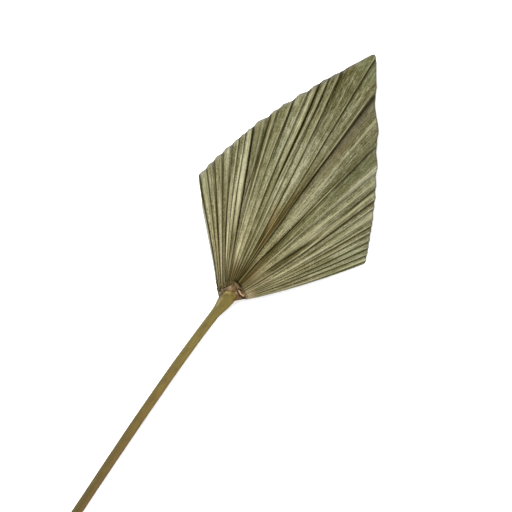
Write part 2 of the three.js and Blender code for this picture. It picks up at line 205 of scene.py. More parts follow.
# Lines in plan on the hastula, with half widths and heights or depths: its crest, the crest's pale curl,
# the notch and the dark lines, the last two grooves painted dark as shade
CREST_LINE = [(24.0, -0.8), (23.1, -2.6), (22.3, -4.8)]
CREST_SIZE = (1.1, 1.3)
CURL_LINE = [(20.4, -6.2), (18.8, -9.2), (18.5, -11.8)]
CURL_SIZE = (0.62, 1.6)
HASTULA_NOTCH_SIZE = (0.8, 1.6)
DARK_LINES = [
    [(19.0, -5.2), (17.0, -9.2), (17.3, -10.8), (17.6, -14.4)],
    [(21.3, -5.0), (21.6, -8.5)],
    [(15.0, 6.4), (17.8, 5.2), (20.3, 3.6)],
    [(12.6, 10.6), (14.2, 12.4)],
    [(11.0, 8.4), (12.8, 8.8)],
]
DARK_LINE_SIZE = (0.5, 1.0)
PINK_SPOTS = [(18.6, 2.6, 2.2), (17.2, -5.0, 1.4), (20.6, -12.4, 1.3)]
PINK_HEIGHT = 0.4
# Crumples: cells to a millimetre, seed, size, and what is added towards the left end
CRUMPLE = (0.7, 51, 0.3, 0.45)
GRIT = (1.9, 53, 0.2, 0.4)
CRUMPLED_END = (0.35, 0.8)
# Grooves that carry the folds' roots on: their height, their turns over half the width in
# radians, and where they begin towards the folds and towards the left
GROOVE_HEIGHT = 0.4
GROOVE_TURNS = 52
GROOVE_SHARES = (0.35, 0.6)
GROOVE_PLACES = (-0.02, 0.12)
# How pale and how dark these leave the colour; the dark of the lines and of the grooves' troughs is
# painted shade
CREST_PALE = 0.15
PINK_PALE = 0.35
GRIT_TONE = 0.5
LINE_DARK = 0.85
GROOVE_DARK = 0.4

# How a valley's painted dark line of shade begins and ends, how far the painted shade beside it is as
# dark, how dark the line is outside its reach, and where every valley is dark by the hub
VALLEY_FADES = (25, 40)
VALLEY_LINE_CORE = 0.4
VALLEY_SHADE_CORE = 0.2
VALLEY_SHADE_AMOUNT = 0.25
VALLEY_FAINT = 0.25
VALLEY_HUB_REACH = (36, 62)

# How dark the painted shade in each valley is from the left margin on, and from where to where along the
# fold
VALLEY_SHADE_DARKNESS = [
    (1.0, 0, 300), (0.7, 40, 300), (0.95, 40, 300), (0.6, 60, 300), (1.0, 35, 120), (0.6, 60, 300),
    (0.7, 60, 300), (1.0, 50, 300), (0.9, 110, 300), (0.6, 90, 300), (0.3, 140, 300), (0.7, 75, 190),
    (1.0, 75, 300), (0.4, 80, 300), (0.6, 65, 220), (0.8, 120, 300), (1.0, 110, 300), (0.6, 40, 300),
    (0.15, 35, 300), (0.15, 60, 300), (0.4, 60, 300), (0.9, 75, 300), (0.25, 60, 300), (0.3, 60, 300),
    (0.5, 60, 300), (0.6, 60, 300), (0.75, 55, 300), (0.85, 50, 300), (0.6, 45, 300), (0.4, 45, 300),
]

# The notch at the blade's root, in plan, painted dark as shade
NOTCH_LINE = [(26.4, 1.6), (25.5, -2.5), (24.4, -5.8)]
NOTCH_HALF_WIDTH = 0.75

# Lengths over which a crease or rib begins and ends
MARK_FADES = (12, 20)

# Creases and small ribs inside the folds, the creases painted dark as shade and the ribs with a painted
# highlight: distance and angle at the inner and the outer end, depth or amount, and half width in degrees
CREASES = [
    (28, 41.5, 128, 41.8, 0.8, 0.22), (40, 20.6, 175, 20.0, 0.4, 0.22),
    (88, 21.8, 134, 18.6, 1.0, 0.35), (120, 19.0, 180, 18.1, 0.8, 0.25),
    (130, 12.6, 204, 13.7, 0.9, 0.22), (78, 10.7, 160, 10.7, 0.5, 0.2),
    (118, 8.3, 222, 7.1, 0.8, 0.2), (52, 2.2, 96, 5.6, 0.6, 0.4),
    (60, 12.4, 120, 12.8, 0.3, 0.22), (150, 3.6, 250, 4.0, 0.3, 0.22),
    (165, 5.0, 285, 4.7, 0.7, 0.17), (90, 2.2, 235, 2.2, 0.35, 0.22),
    (80, -1.7, 260, -1.7, 0.3, 0.22), (60, -5.8, 240, -5.6, 0.3, 0.22),
    (32, -8.0, 80, -10.3, 1.2, 0.36), (56, -10.0, 118, -10.9, 1.2, 0.26),
    (140, -11.8, 210, -11.0, 0.6, 0.25), (68, -14.3, 104, -14.8, 0.8, 0.25),
    (40, -18.5, 76, -19.9, 0.8, 0.35), (64, -19.6, 110, -21.0, 1.0, 0.5),
    (46, -21.2, 90, -20.8, 0.7, 0.35), (140, -19.9, 190, -19.9, 0.6, 0.22),
    (80, -25.6, 116, -25.1, 0.7, 0.3), (130, -24.3, 180, -24.9, 0.7, 0.2),
    (108, -26.9, 165, -27.2, 0.6, 0.15), (42, -28.2, 165, -27.7, 0.5, 0.15),
]
RIBS = [
    (104, -39.2, 170, -38.9, 1.1, 0.25), (22, 33.9, 110, 34.1, 0.55, 0.5),
    (38, 27.1, 92, 28.3, 0.7, 0.4), (76, 28.3, 125, 27.7, 0.7, 0.35),
    (66, 26.5, 150, 24.5, 0.8, 0.35), (62, 23.8, 170, 23.8, 0.7, 0.3),
    (82, 22.2, 120, 18.4, 0.5, 0.5), (98, 17.0, 180, 17.4, 0.5, 0.3),
    (130, 9.8, 222, 9.8, 0.6, 0.25), (84, 8.9, 232, 7.7, 0.5, 0.2),
    (70, -7.8, 140, -7.5, 0.6, 0.15), (128, -7.5, 250, -6.4, 0.6, 0.15),
    (68, -13.8, 142, -12.5, 0.6, 0.2), (66, -17.4, 140, -18.1, 0.7, 0.2),
    (122, -18.0, 200, -18.7, 0.6, 0.15), (86, -19.5, 142, -20.3, 0.5, 0.25),
    (74, -22.5, 118, -21.1, 0.8, 0.3), (104, -21.2, 175, -20.5, 0.8, 0.35),
    (44, -27.4, 180, -25.9, 0.5, 0.6),
]

# Uneven tone over the blade, in the first list partly painted light and shade where the panels twist:
# angle and its reach, distance from the hub and its reach, amount
LIGHT_AND_SHADE_PATCHES = [
    (15.0, 3.2, 75, 30, 0.9), (23.8, 1.4, 110, 60, 0.7), (4.0, 2.2, 130, 45, 0.8),
    (-7.6, 2.0, 105, 40, 0.5), (-15.6, 1.0, 180, 55, 0.7), (-27.5, 3.0, 75, 35, 0.4),
    (34.0, 1.0, 80, 45, 0.5), (29.5, 1.0, 75, 25, 0.5), (-38.5, 2.5, 32, 12, 0.9),
    (20.2, 2.0, 110, 130, -0.75), (-1.3, 1.7, 88, 45, -1.3), (-4.0, 2.2, 190, 70, -0.5),
    (-13.4, 1.7, 175, 70, -0.7), (-11.6, 1.6, 62, 22, -0.9), (6.0, 2.2, 215, 35, -0.5),
    (5.5, 3.5, 50, 22, -0.6), (36.5, 1.6, 100, 60, -0.4), (26.0, 5.0, 27, 8, -1.0),
    (1.0, 5.0, 27, 5, -1.4), (-18.5, 1.6, 62, 20, -0.7), (40.9, 1.2, 85, 40, 1.0),
    (40.9, 1.6, 122, 22, 1.0), (-9.0, 5.0, 40, 14, -0.8), (-37.5, 1.0, 160, 90, -0.2),
    (36.2, 0.7, 52, 18, -0.9), (34.4, 0.9, 80, 30, 0.5), (29.3, 0.8, 60, 35, -1.1),
    (27.2, 0.9, 62, 22, 1.1), (25.8, 0.8, 85, 22, 1.3), (24.0, 1.6, 42, 12, -1.1),
    (22.9, 0.5, 100, 60, -0.6), (18.0, 0.7, 110, 30, -0.6), (16.6, 0.5, 80, 40, 0.8),
    (15.0, 1.3, 45, 14, 1.1), (9.1, 0.4, 130, 50, -1.0), (7.4, 0.5, 75, 22, 0.8),
    (5.75, 0.5, 95, 60, -2.3), (3.6, 1.6, 45, 12, -0.8), (1.8, 1.0, 85, 40, -1.0),
    (-0.8, 2.0, 50, 16, -1.1), (-5.4, 1.6, 105, 40, 0.7), (-10.9, 0.8, 110, 70, -1.4),
    (-13.0, 1.5, 70, 25, -0.6), (-15.7, 0.8, 190, 42, 1.2), (3.5, 5.0, 240, 35, -0.4),
    (-11.0, 6.0, 34, 12, -1.6), (2.0, 6.0, 34, 12, -0.9), (21.0, 5.0, 34, 12, -0.7),
    (16.5, 1.6, 60, 20, 0.8), (23.7, 1.0, 60, 16, -1.5), (9.9, 0.7, 62, 18, -0.9),
    (9.0, 0.4, 165, 55, -1.6), (29.3, 0.8, 95, 50, -1.1), (36.1, 0.5, 75, 30, -0.9),
    (38.4, 0.9, 115, 20, 0.8), (30.5, 1.5, 138, 14, 0.8), (28.0, 0.8, 136, 14, -1.0),
    (27.0, 0.6, 54, 18, 1.9), (24.8, 0.4, 120, 16, 1.2), (17.7, 0.5, 140, 30, -1.0),
    (15.0, 2.0, 42, 18, 1.6), (11.0, 2.5, 38, 12, 1.3), (8.2, 0.5, 88, 35, -0.9),
    (1.2, 0.6, 80, 35, -1.1), (-2.7, 0.4, 220, 40, -1.2), (-10.6, 0.3, 150, 30, -0.8),
    (-19.1, 0.6, 100, 16, 1.0), (-32.3, 0.8, 120, 15, 0.9), (-34.5, 0.7, 125, 20, 0.7),
    (-38.8, 0.8, 148, 14, 0.8), (-39.8, 0.4, 125, 25, -0.8), (-39.0, 1.5, 30, 8, -1.0),
    (-13.5, 2.0, 55, 18, -0.9), (-33.1, 0.5, 92, 20, -1.0), (-35.6, 0.4, 125, 25, -1.0),
    (-36.6, 0.6, 90, 25, 1.3), (-18.4, 1.4, 80, 22, 1.0), (-20.8, 0.7, 170, 40, 0.5),
    (-21.2, 0.9, 70, 25, -0.6), (-24.4, 1.0, 65, 20, -1.0), (-25.8, 0.9, 165, 20, 0.8),
    (-27.3, 0.8, 90, 45, 1.3), (-28.9, 0.6, 110, 50, -0.9), (-30.9, 0.5, 130, 40, 0.6),
    (-33.0, 0.6, 130, 30, 0.6), (-35.0, 0.7, 125, 30, 0.5), (-37.0, 0.7, 130, 40, 0.5),
    (-37.5, 4.0, 58, 16, -0.35), (6.5, 3.5, 135, 50, 0.5), (28.3, 1.3, 150, 15, 0.8),
    (24.3, 1.2, 95, 20, 0.35), (-20.3, 1.3, 140, 30, -0.55), (40.0, 2.0, 36, 12, 0.9),
    (12.0, 2.0, 34, 10, 0.6),
]
BROWN_PATCHES = [
    (20.0, 7.0, 24, 5, 1.0), (3.6, 2.4, 68, 18, 0.9), (-0.5, 2.4, 72, 36, 0.95),
    (-2.6, 1.0, 105, 60, 0.6), (-10.4, 1.2, 68, 22, 0.8), (22.6, 2.2, 46, 14, 0.6),
    (-19.6, 1.2, 66, 16, 0.5), (30.2, 1.9, 66, 36, 0.5), (9.0, 1.2, 48, 14, 0.6),
]
RUST_PATCHES = [
    (5.0, 1.4, 98, 7, 0.8), (3.0, 1.4, 90, 7, 0.9), (1.0, 1.2, 82, 8, 0.7),
    (-1.0, 1.2, 72, 9, 0.4), (-0.3, 0.8, 122, 26, 0.35), (12.5, 3.0, 36, 8, 0.5),
    (-12.5, 1.5, 48, 12, 0.4),
]
GREEN_PATCHES = [
    (-39.3, 1.3, 122, 26, 0.9), (0.5, 2.6, 250, 14, 0.7), (-13.2, 1.8, 180, 50, 0.6),
    (-12.0, 2.5, 75, 30, 0.5), (-35.5, 2.2, 105, 40, 0.7), (40.0, 1.6, 115, 30, 0.6),
    (20.5, 2.0, 160, 25, 0.5), (14.0, 2.5, 150, 30, 0.45), (-19.0, 1.8, 78, 15, 0.9),
    (8.0, 3.0, 100, 40, 0.35),
]
GREY_PATCHES = [
    (-4.0, 1.8, 200, 60, 0.8), (-13.4, 1.6, 200, 50, 0.25), (20.0, 1.6, 100, 26, 1.0),
    (-38.6, 1.2, 62, 18, 0.7), (-28.0, 2.0, 50, 14, 0.4), (31.0, 1.5, 48, 12, 0.5),
]
TAN_PATCHES = [
    (-36.0, 6.0, 24, 6, 1.0), (-34.5, 5.0, 25, 7, 1.0), (-25.0, 6.0, 26, 5, 0.5),
    (24.0, 3.0, 40, 14, 0.5), (34.0, 2.5, 36, 14, 0.45), (-16.0, 1.6, 44, 12, 0.6),
    (-20.5, 2.0, 40, 10, 0.4), (1.6, 0.6, 62, 20, 0.5),
]
PATCHES = {
    "hub": BROWN_PATCHES,
    "light": LIGHT_AND_SHADE_PATCHES,
    "rust": RUST_PATCHES,
    "green": GREEN_PATCHES,
    "grey": GREY_PATCHES,
    "tan": TAN_PATCHES,
}

# The brown of the folds' roots: where it ends, its amount everywhere and what is added in the middle
HUB_BROWN_END = (30, 58)
HUB_BROWN = 0.3
HUB_BROWN_MIDDLE = 0.85
HUB_BROWN_DEG = (1, 24)

# The leaf's colours are given as seen in bright light, which gives more than 1 in all
LEAF_SHARE = 0.57

# Thickness of the blade's sheet, and fineness of the pieces
PLY = 0.45
COLUMNS_PER_DEGREE = 5.6
LEAST_COLUMNS = 4
BLADE_STATIONS = 96
STALK_STATIONS = 260
STALK_POINTS = 88
HASTULA_PLACES = 181
HASTULA_SHARES = 41


# Numbers and noise

def park_miller(seed):
    """Numbers from 0 to 1, the same in every run."""
    state = seed
    while True:
        state = state * 16807 % 2147483647
        yield state / 2147483647


def smoothstep(x, low, high):
    t = np.clip((x - low) / (high - low), 0, 1)
    return t * t * (3 - 2 * t)


def lattice(ix, iy, seed):
    value = np.sin(ix * 127.1 + iy * 311.7 + seed * 74.7) * 43758.5453
    return value - np.floor(value)


def smooth_noise(x, y, seed):
    """Soft noise from -1 to 1 over a plane with cells one unit wide."""
    x, y = np.broadcast_arrays(np.asarray(x, float), np.asarray(y, float))
    ix, iy = np.floor(x), np.floor(y)
    fx, fy = x - ix, y - iy
    fx, fy = fx * fx * (3 - 2 * fx), fy * fy * (3 - 2 * fy)
    low = lattice(ix, iy, seed) * (1 - fx) + lattice(ix + 1, iy, seed) * fx
    high = lattice(ix, iy + 1, seed) * (1 - fx) + lattice(ix + 1, iy + 1, seed) * fx
    return 2 * (low * (1 - fy) + high * fy) - 1


def bell(x, centre, width):
    return np.exp(-(((x - centre) / width) ** 2))


def line_distance(x, y, line):
    """Distance in plan from points to a line of straight stretches."""
    nearest = np.full(np.shape(x), np.inf)
    for (ax, ay), (bx, by) in zip(line, line[1:]):
        run_x, run_y = bx - ax, by - ay
        t = ((x - ax) * run_x + (y - ay) * run_y) / (run_x ** 2 + run_y ** 2)
        t = np.clip(t, 0, 1)
        nearest = np.minimum(nearest, np.hypot(x - ax - run_x * t, y - ay - run_y * t))
    return nearest


# Outline and folds

def edge_distance(angle, corner, full_bow):
    along = TIP - corner
    direction = np.array([math.cos(angle), math.sin(angle)])
    across = direction[0] * along[1] - direction[1] * along[0]
    distance = (corner[0] * along[1] - corner[1] * along[0]) / across
    share = (direction * distance - corner) @ along / (along @ along)
    peak = 1 / (1 + EDGE_BOW_SKEW)

    def shape(place):
        return place * (1 - place) ** EDGE_BOW_SKEW

    bow = full_bow * shape(min(share, 1)) / shape(peak)
    return distance + bow / (abs(across) / math.hypot(*along))


def outline_radius(angle):
    from_tip = angle - TIP_ANGLE
    rounding = TIP_ROUNDING * math.exp(-abs(from_tip) / math.radians(TIP_ROUNDING_DEG))
    if from_tip > 0:
        return edge_distance(angle, LEFT_CORNER, LEFT_EDGE_BOW) - rounding
    bulge = TIP_BULGE * bell(math.degrees(angle), *TIP_BULGE_DEG) * (1 - rounding / TIP_ROUNDING)
    return edge_distance(angle, RIGHT_CORNER, RIGHT_EDGE_BOW) - rounding + bulge


def margin_share(angle):
    return min((angle / math.radians(FAN_HALF_DEG)) ** 2, 1)


def root_radius(angle):
    cut = ROOT_LEFT_CUT if angle > 0 else ROOT_RIGHT_CUT
    return ROOT_RADIUS - cut * margin_share(angle)


def guide_value(angle, values):
    """Value at an angle of something given at the left side of each group."""
    return np.interp(-math.degrees(angle), [-start for start in GUIDE_STARTS], values)


def fold_bow(angle):
    """How far a line bows sideways between hub and edge, in radians."""
    return math.radians(guide_value(angle, GUIDE_BOWS))


def squeeze(angle, radius, edge):
    gather = guide_value(angle, GUIDE_GATHERS)
    return (1 - gather / radius) / (1 - gather / edge)


def crowding(angle, radius, edge, bow_share):
    """How close together the folds lie at a radius, where 1 is their spacing at the edge."""
    step = math.radians(CROWDING_STEP_DEG)

    def turned(at):
        return at * squeeze(at, radius, edge) + fold_bow(at) * bow_share

    spacing = (turned(angle + step) - turned(angle - step)) / (2 * step)
    return np.clip(spacing, CLOSEST_CROWDING, WIDEST_CROWDING)


def arch_height(x, y):
    crown = 1 - ((x - ARCH_MIDDLE_X) / ARCH_HALF_LENGTH) ** 2
    return ROOT_HEIGHT + ARCH_RISE * crown - CORNER_DROOP * (y / CORNER_REACH) ** 2


def make_folds():
    folds = []
    start = math.radians(LEFT_MARGIN_DEG)
    for widths, depths, ridges, cleft, _, _ in FOLD_GROUPS:
        for index, degrees in enumerate(widths):
            width = math.radians(degrees)
            folds.append({
                "from": start,
                "to": start - width,
                "ridge": ridges[index],
                "depth": depths[index] * width,
                "cleft": cleft if index == 0 else 0,
            })
            start -= width
    return folds


def square_cut(angle):
    from_tip = angle - TIP_ANGLE
    cut = LEFT_SQUARE_CUT if from_tip > 0 else RIGHT_SQUARE_CUT
    return cut * float(smoothstep(abs(from_tip), 0, math.radians(POINTED_CUT_DEG)))


def make_columns(folds):
    """Lines from the root to the trimmed edge, many to a fold."""
    first, last = folds[0], folds[-1]

    def valley_lift(index):
        left = folds[index - 1] if index > 0 else first
        right = folds[index] if index < len(folds) else last
        cleft = folds[index]["cleft"] if index < len(folds) else 0
        return -0.25 * (left["depth"] + right["depth"]) - cleft

    columns = []

    def add(angle, lift, cut, bow, fold, u, margin=0.0):
        columns.append({
            "angle": angle,
            "lift": lift,
            "cut": cut,
            "bow": bow,
            "fold": fold,
            "u": u,
            "margin": margin,
        })

    left_margin = first["from"] + math.radians(LEFT_STRIP_DEG)
    first_valley = valley_lift(0)
    for k in range(STRIP_COLUMNS):
        t = k / STRIP_COLUMNS
        angle = left_margin + (first["from"] - left_margin) * t
        lift = STRIP_LIFT * first["depth"] * (1 - t) + first_valley * t
        add(angle, lift, first["from"], fold_bow(first["from"]), 0, LEFT_STRIP_SHARE * (t - 1), 1 - t)
    for index, fold in enumerate(folds):
        middle = (fold["from"] + fold["to"]) / 2
        width = fold["from"] - fold["to"]
        start, top, end = valley_lift(index), 0.5 * fold["depth"], valley_lift(index + 1)
        swell = PANEL_BELLY * fold["depth"]
        degrees = math.degrees(width)
        panels = [
            (0, fold["ridge"], start, top),
            (fold["ridge"], 1, top, end),
        ]
        for low, high, lift_low, lift_high in panels:
            count = max(LEAST_COLUMNS, round((high - low) * degrees * COLUMNS_PER_DEGREE))
            for k in range(count):
                s = 0.5 * (1 - math.cos(math.pi * k / count))
                u = low + (high - low) * s
                angle = fold["from"] - width * u
                lift = lift_low + (lift_high - lift_low) * s + 4 * swell * s * (1 - s)
                sharp = float(smoothstep(u, 0, SQUARE_CUT_FADE) * smoothstep(1 - u, 0, SQUARE_CUT_FADE))
                cut = angle + (middle - angle) * square_cut(angle) * sharp
                add(angle, lift, cut, fold_bow(angle), index, u)
    count = len(folds)
    end_lift = valley_lift(count)
    add(last["to"], end_lift, last["to"], fold_bow(last["to"]), count - 1, 1)
    for k in range(1, STRIP_COLUMNS + 1):
        t = k / STRIP_COLUMNS
        angle = last["to"] - math.radians(RIGHT_STRIP_DEG) * t
        lift = end_lift * (1 - t) + STRIP_LIFT * last["depth"] * t
        add(angle, lift, last["to"], fold_bow(angle), count - 1, 1 + RIGHT_STRIP_SHARE * t, t)
    nearest = min(columns, key=lambda column: abs(column["angle"] - TIP_ANGLE))
    nearest["angle"] = nearest["cut"] = TIP_ANGLE
    return columns


# Meshes

def to_row(points):
    """From the fan's frame in millimetres to the row frame in metres."""
    return (points + np.array([SHIFT_X, SHIFT_Y, 0.0])) / 1000


def add_mesh(name, vertices, faces, attributes=None):
    mesh = bpy.data.meshes.new(name)
    mesh.from_pydata(np.asarray(vertices, float).tolist(), [], [tuple(face) for face in faces])
    for key, values in (attributes or {}).items():
        layer = mesh.attributes.new(key, "FLOAT", "POINT")
        layer.data.foreach_set("value", np.asarray(values, np.float32).ravel())
    mesh.shade_smooth()
    piece = bpy.data.objects.new(name, mesh)
    bpy.context.scene.collection.objects.link(piece)
    return piece


def sheet_faces(rows, columns):
    """Faces of a closed sheet: its top grid, its bottom grid, and a rim between them."""
    count = rows * columns
    faces = []
    for row in range(rows - 1):
        for column in range(columns - 1):
            a = row * columns + column
            b, c, d = a + columns, a + columns + 1, a + 1
            faces.append((a, b, c, d))
            faces.append((a + count, d + count, c + count, b + count))
    loop = [row * columns for row in range(rows - 1)]
    loop += [(rows - 1) * columns + column for column in range(columns - 1)]
    loop += [row * columns + columns - 1 for row in range(rows - 1, 0, -1)]
    loop += list(range(columns - 1, 0, -1))
    for here, following in zip(loop, loop[1:] + loop[:1]):
        faces.append((here, here + count, following + count, following))
    return faces


def no_wider(width, scale):
    """A width in millimetres, kept within its share of a fold."""
    return np.minimum(width[0], width[1] * scale)


def reach_along(radius, start, end, fades):
    """1 between two distances from the hub, fading inside both ends."""
    return smoothstep(radius, start, start + fades[0]) * (1 - smoothstep(radius, end - fades[1], end))


def valley_shade(column, radius, scale):
    """How dark the blade is by a valley: a narrow line with a soft shade on its left.

    scale is the width in millimetres of one whole fold at each point.
    """
    u = column["u"]
    strength, start, end = VALLEY_SHADE_DARKNESS[column["fold"] + (1 if u >= 0.5 else 0)]
    line_width = no_wider(VALLEY_LINE_WIDTH, scale)
    shade_width = no_wider(VALLEY_SHADE_WIDTH, scale)
    from_left, from_right = np.abs(u) * scale, np.abs(1 - u) * scale
    right_line = 1 - smoothstep(from_left / line_width, VALLEY_LINE_CORE, 1)
    left_line = 1 - smoothstep(from_right / line_width, VALLEY_LINE_CORE, 1)
    left_shade = 1 - smoothstep(from_right / shade_width, VALLEY_SHADE_CORE, 1)
    shade = strength * np.maximum(np.maximum(right_line, left_line), VALLEY_SHADE_AMOUNT * left_shade)
    reach = reach_along(radius, start, end, VALLEY_FADES)
    near_hub = 1 - smoothstep(radius, *VALLEY_HUB_REACH)
    return shade * np.maximum(VALLEY_FAINT + (1 - VALLEY_FAINT) * reach, near_hub)


def line_marks(marks, radius, degrees):
    """Sum of the slanting lines at points along one column."""
    total = np.zeros_like(radius)
    for start, start_angle, end, end_angle, amount, width in marks:
        reach = reach_along(radius, start, end, MARK_FADES)
        at = np.interp(radius, [start, end], [start_angle, end_angle])
        total += amount * reach * bell(degrees, at, width)
    return total


def blade_noise(layer, degrees, radius):
    size, across, lengthwise, seed = layer
    return size * smooth_noise(degrees * across, radius * lengthwise, seed)


def column_path(column, radius, inner, edge):
    """Angles of the points along one column, and how much of its bow each one has."""
    angle = column["angle"]
    waver = blade_noise(WAVER, math.degrees(angle), radius)
    waver *= smoothstep(radius, *WAVER_START) * (1 - column["margin"])
    share = (radius - inner) / (edge - inner)
    bow_share = np.sin(math.pi * np.sqrt(share ** (1 / BOW_POWER)))
    turned = angle * squeeze(angle, radius, edge) + column["bow"] * bow_share + np.radians(waver)
    if column["fold"] == 0:
        swell = max(0, 1 - max(column["u"], 0) / MARGIN_SWELL_SHARE) ** 2
        stand_out = swell * np.interp(radius, *MARGIN_SWELL)
        stand_out += column["margin"] * np.interp(radius, *MARGIN_STRIP)
        turned = turned + stand_out / radius
    return turned, bow_share


def column_facts(column, fold, radius, edge, scale, x, y):
    """What the relief and the material need to know at the points along one column."""
    degrees = math.degrees(column["angle"])
    rim_reach = RIM_REACH + RIM_LEFT_REACH * smoothstep(degrees, *RIM_LEFT_DEG)
    rim_reach += RIM_TIP_REACH * bell(degrees, *RIM_TIP_DEG)
    strip_reach = smoothstep(radius, *STRIP_START) * (1 - smoothstep(radius, *STRIP_END))
    from_ridge = (column["u"] - fold["ridge"]) * scale
    return {
        "along": radius,
        "angle": np.full_like(radius, degrees),
        "crease": line_marks(CREASES, radius, degrees),
        "rib": line_marks(RIBS, radius, degrees),
        "valley": valley_shade(column, radius, scale),
        "ridge": bell(from_ridge / no_wider(RIDGE_WIDTH, scale), 0, 1),
        "notch": bell(line_distance(x, y, NOTCH_LINE), 0, NOTCH_HALF_WIDTH),
        "rim": 1 - smoothstep(edge - radius, RIM_FULL, rim_reach),
        "strip": min(1, STRIP_FILL * column["margin"]) * strip_reach,
    }


def column_height(column, radius, crowd, known, x, y):
    """Height of the sheet's middle at the points along one column."""
    degrees = math.degrees(column["angle"])
    steepening = 1 + HUB_STEEPENING * np.exp(-radius / HUB_STEEPENING_REACH)
    unevenness = 1 + blade_noise(UNEVENNESS, degrees, radius)
    fold_height = column["lift"] * radius * crowd
    fold_height = fold_height * steepening * unevenness
    rib = RIDGE_HEIGHT * known["ridge"] * smoothstep(radius, *RIDGE_START)
    ripple = blade_noise(RIPPLE, degrees, radius)
    ripple += blade_noise(FINE_RIPPLE, degrees, radius)
    ripple *= smoothstep(radius, *RIPPLE_START)
    height = arch_height(x, y) + fold_height + rib + ripple
    return height - known["crease"] + RIB_HEIGHT * known["rib"]


def blade_surface(columns, folds):
    """Middle of the blade's thickness as a grid of points, and what is known at each one."""
    spread = np.linspace(0, 1, BLADE_STATIONS + 1) ** ROW_POWER
    grid, facts = [], []
    for column in columns:
        beyond = max(column["u"] - 1, 0) / RIGHT_STRIP_SHARE
        edge = outline_radius(column["cut"]) - RIGHT_CORNER_CHAMFER * beyond ** 2
        inner = root_radius(column["angle"])
        radius = inner + (edge - inner) * spread
        turned, bow_share = column_path(column, radius, inner, edge)
        x, y = radius * np.cos(turned), radius * np.sin(turned)
        crowd = crowding(column["angle"], radius, edge, bow_share)
        fold = folds[column["fold"]]
        scale = (fold["from"] - fold["to"]) * radius * crowd
        known = column_facts(column, fold, radius, edge, scale, x, y)
        height = column_height(column, radius, crowd, known, x, y)
        grid.append(np.stack([x, y, height], axis=1))
        facts.append(known)
    return np.array(grid), {name: np.array([known[name] for known in facts]) for name in facts[0]}


def patch_sum(patches, angle, along):
    total = np.zeros_like(angle)
    for at, reach, distance, length, amount in patches:
        total += amount * bell(angle, at, reach) * bell(along, distance, length)
    return total


def add_patches(facts):
    """Adds the uneven tones to what is known at the blade's points."""
    angle, along = facts["angle"], facts["along"]
    middle = HUB_BROWN + HUB_BROWN_MIDDLE * bell(angle, *HUB_BROWN_DEG)
    hub = (1 - smoothstep(along, *HUB_BROWN_END)) * middle
    for name, patches in PATCHES.items():
        facts[name] = patch_sum(patches, angle, along)
    facts["hub"] = np.maximum(hub, facts["hub"])


def thicken(grid):
    """Half of the upright thickness at each point, more where the sheet is steep."""
    across = np.gradient(grid, axis=0)
    run = np.hypot(across[..., 0], across[..., 1])
    slope = np.abs(across[..., 2]) / np.maximum(run, 1e-6)
    return 0.5 * PLY * np.hypot(1, np.minimum(slope, STEEPEST_SLOPE))


def settle(grid, half):
    """Lowers the sheet and turns it a little, so that both halves touch the surface."""
    under = grid[..., 2] - half
    feet = []
    for side in (1, -1):
        mask = np.where(grid[..., 1] * side > 0, under, np.inf)
        row, column = np.unravel_index(np.argmin(mask), mask.shape)
        feet.append((grid[row, column, 1], under[row, column]))
    slope = (feet[0][1] - feet[1][1]) / (feet[0][0] - feet[1][0])
    drop = feet[0][1] - slope * feet[0][0]
    grid[..., 2] -= drop + slope * grid[..., 1]


def make_blade():
    folds = make_folds()
    columns = make_columns(folds)
    grid, facts = blade_surface(columns, folds)
    half = thicken(grid)
    settle(grid, half)
    top, bottom = grid.copy(), grid.copy()
    top[..., 2] += half
    bottom[..., 2] -= half
    rows, count = grid.shape[:2]
    vertices = to_row(np.concatenate([top.reshape(-1, 3), bottom.reshape(-1, 3)]))
    draw = park_miller(RNG_SEED)
    tones = [2 * next(draw) - 1 for _ in folds]
    # +1 on the panel towards the key light and -1 on the other, for painted light and shade on the two
    # panels of a fold
    painted_panel_light = [1 if column["u"] < folds[column["fold"]]["ridge"] else -1 for column in columns]
    per_column = {"tone": [tones[column["fold"]] for column in columns], "painted_panel_light": painted_panel_light}
    for name, values in per_column.items():
        facts[name] = np.repeat(np.array(values)[:, None], count, axis=1)
    add_patches(facts)
    attributes = {name: np.tile(values.ravel(), 2) for name, values in facts.items()}
    return add_mesh("blade_fine", vertices, sheet_faces(rows, count), attributes)


# The stalk

def flare_share(x):
    return smoothstep(x, FLARE_START_X, STALK_END_X)


def stalk_centre(x):
    lying_end = CUT_END_X + STALK_LYING_LENGTH
    rise = smoothstep(x, lying_end, STALK_END_X + STALK_NOSE)
    y = STALK_SWAY * (1 - np.exp(np.minimum(x, 0) / STALK_SWAY_LENGTH))
    z = STALK_BELOW + (STALK_HUB_HEIGHT - STALK_BELOW) * rise
    return y + STALK_END_SHIFT * flare_share(x), z


def nose_reach(across):
    return STALK_NOSE * (1 - np.abs(across) ** STALK_NOSE_POWER)


def stalk_ring(x, turns, across, up):
    """Points round the stalk at one place along it."""
    centre_y, centre_z = stalk_centre(x)
    flare = float(flare_share(x))
    half = (STALK_WIDTH + (STALK_FLARE_WIDTH - STALK_WIDTH) * flare) / 2
    deepening = 1 + (STALK_FLARE_DEPTH - 1) * flare
    rise = np.where(up > 0, STALK_ABOVE * up, -STALK_BELOW * np.minimum(1, -up * STALK_SOLE))
    dent = 0
    for size, cells, shift, lengthwise, seed in STALK_DENTS:
        dent = dent + size * smooth_noise(turns * cells + shift, x * lengthwise, seed)
    dent = np.where(np.sin(turns) < STALK_SOLE_FROM, 0, dent)
    return np.stack([
        x + flare ** 2 * (nose_reach(across) + STALK_END_SKEW * across),
        centre_y - (half + dent) * across,
        centre_z + deepening * (rise + dent * up),
    ], axis=1)


